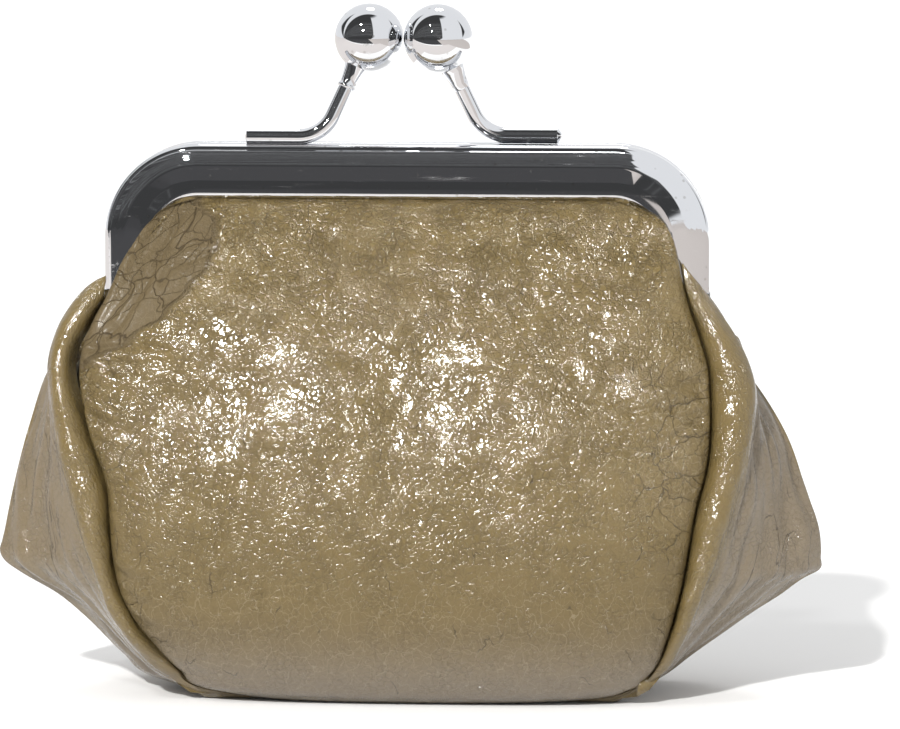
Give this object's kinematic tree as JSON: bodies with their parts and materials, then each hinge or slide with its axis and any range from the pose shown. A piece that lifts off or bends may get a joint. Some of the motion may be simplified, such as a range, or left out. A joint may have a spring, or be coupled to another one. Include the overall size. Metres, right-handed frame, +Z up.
{
  "type": "snap-frame coin purse",
  "caption": "Small leather coin purse: a hinged U-shaped metal frame with a crossing ball clasp holds a full, padded bag whose sides fold out to points.",
  "frame": {"origin": "middle of the flat base, on the surface the purse stands on", "axes": "+Z up, -Y towards the front panel, +X to the right along the frame"},
  "size_m": [0.1148, 0.044, 0.097],
  "materials": {
    "leather": "crinkled patent leather",
    "chrome": "polished plated steel",
    "lining": "plain woven cotton",
    "padding": "felted wadding",
    "paper_cord": "twisted paper cord"
  },
  "bodies": {
    "bag": {"front_panel": "leather", "rear_panel": "leather", "left_gusset": "leather", "right_gusset": "leather", "front_padding": "padding", "rear_padding": "padding", "front_lining": "lining", "rear_lining": "lining", "left_gusset_lining": "lining", "right_gusset_lining": "lining"},
    "front_half": {"front_frame": "chrome", "front_frame_cord": "paper_cord", "front_panel_top": "leather", "front_lining_top": "lining", "front_clasp_stem": "chrome", "front_clasp_collar": "chrome", "front_clasp_ball": "chrome"},
    "rear_half": {"rear_frame": "chrome", "rear_frame_cord": "paper_cord", "rear_panel_top": "leather", "rear_lining_top": "lining", "rear_clasp_stem": "chrome", "rear_clasp_collar": "chrome", "rear_clasp_ball": "chrome", "left_hinge_rivet": "chrome", "right_hinge_rivet": "chrome"}
  },
  "joints": [
    {"name": "frame_opening", "type": "hinge", "parent": "bag", "child": "front_half", "pos_m": [0, 0, 0.052], "axis": [1, 0, 0], "range_deg": [0, 45]},
    {"name": "rear_half_opening", "type": "hinge", "parent": "bag", "child": "rear_half", "pos_m": [0, 0, 0.052], "axis": [1, 0, 0], "range_deg": [-45, 0]}
  ],
  "couplings": [
    {"joint": "rear_half_opening", "follows": "frame_opening", "ratio": -1}
  ]
}
